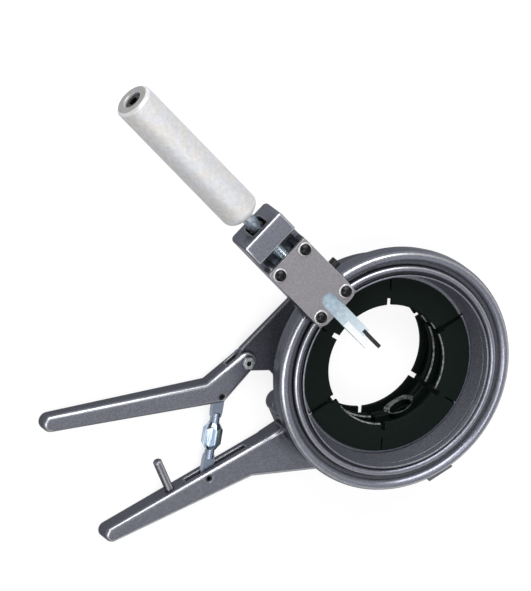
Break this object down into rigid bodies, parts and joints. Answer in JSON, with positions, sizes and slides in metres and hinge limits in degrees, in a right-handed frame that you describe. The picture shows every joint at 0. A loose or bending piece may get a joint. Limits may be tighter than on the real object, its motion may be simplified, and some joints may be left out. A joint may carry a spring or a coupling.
{
  "type": "pipe cutting and beveling machine",
  "caption": "Hand-turned pipe cutting and beveling machine: a two-jaw pipe clamp with hand levers and a turnbuckle link, and a turning ring with a screw-fed cutter head.",
  "frame": {"origin": "on the pipe axis, at the back plane of the clamp", "axes": "+Z along the pipe axis towards the tool head, which lies on top; +X and +Y in the plane of the levers, the levers towards -X"},
  "size_m": [0.293, 0.3052, 0.071],
  "materials": {
    "casting": "satin",
    "insert": "matte",
    "black_screw": "black oxide",
    "zinc": "zinc plated",
    "plate": "satin",
    "tool_steel": "ground",
    "blade": "hardened, dark",
    "grip": "blasted",
    "bush": "turned"
  },
  "bodies": {
    "base": {"lower_jaw": "casting", "lower_insert": "insert", "lower_insert_screw": "black_screw", "hinge_pin": "black_screw", "guide_ring": "casting", "guide_ring_screws": "black_screw", "retaining_ring": "casting", "stop_pin": "casting", "lower_link_pin": "black_screw"},
    "upper_clamp": {"upper_jaw": "casting", "upper_insert": "insert", "upper_insert_screw": "black_screw", "lever_bolt": "zinc", "lever_nut": "zinc"},
    "hand_lever": {"lever": "casting", "upper_link_pin": "black_screw"},
    "link": {"lower_eye": "zinc"},
    "turnbuckle": {"turnbuckle_nut": "zinc"},
    "link_end": {"upper_eye": "zinc"},
    "rotor": {"cutter_ring": "casting", "head_bracket": "casting", "cover_plate": "plate", "cover_screws": "black_screw", "head_screws": "black_screw", "side_screw": "black_screw", "tie_rods": "tool_steel", "spindle_bush": "bush"},
    "feed": {"spindle": "tool_steel", "spindle_collar": "black_screw", "grip": "grip", "grip_screw": "black_screw"},
    "cutter": {"tool_slide": "tool_steel", "cutter_bar": "tool_steel", "parting_blade": "blade", "chamfer_blade": "tool_steel", "blade_screws": "black_screw"}
  },
  "joints": [
    {"name": "jaw_hinge", "type": "hinge", "parent": "base", "child": "upper_clamp", "pos_m": [-0.05607, -0.02981, 0.0165], "axis": [0, 0, 1], "range_deg": [-0.2, 4.5]},
    {"name": "lever_swing", "type": "hinge", "parent": "upper_clamp", "child": "hand_lever", "pos_m": [-0.083, 0, 0.008], "axis": [0, 0, 1], "range_deg": [-12, 0.45]},
    {"name": "link_swing", "type": "hinge", "parent": "base", "child": "link", "pos_m": [-0.10383, -0.07281, 0.008], "axis": [0, 0, 1], "range_deg": [-0.4, 6]},
    {"name": "turnbuckle_spin", "type": "hinge", "parent": "link", "child": "turnbuckle", "pos_m": [-0.10111, -0.047, 0.008], "axis": [0.1045, 0.9945, 0], "range_deg": [-180, 180]},
    {"name": "eye_slide", "type": "slide", "parent": "link", "child": "link_end", "axis": [0.1045, 0.9945, 0], "range_m": [-0.00065, 0.00065]},
    {"name": "ring_spin", "type": "hinge", "parent": "base", "child": "rotor", "pos_m": [0, 0, 0.042], "axis": [0, 0, 1], "continuous": true},
    {"name": "feed_spin", "type": "hinge", "parent": "rotor", "child": "feed", "pos_m": [-0.10699, 0.10514, 0.0568], "axis": [-0.7133, 0.7009, 0], "range_deg": [-2430, 720]},
    {"name": "cutter_feed", "type": "slide", "parent": "rotor", "child": "cutter", "axis": [0.7133, -0.7009, 0], "range_m": [-0.0136, 0.0041]}
  ],
  "couplings": [
    {"joint": "jaw_hinge", "follows": "lever_swing", "ratio": -0.34},
    {"joint": "link_swing", "follows": "lever_swing", "ratio": -0.45},
    {"joint": "eye_slide", "follows": "turnbuckle_spin", "m_per_rad": 0.00019894},
    {"joint": "cutter_feed", "follows": "feed_spin", "m_per_rad": 0.00031831}
  ]
}
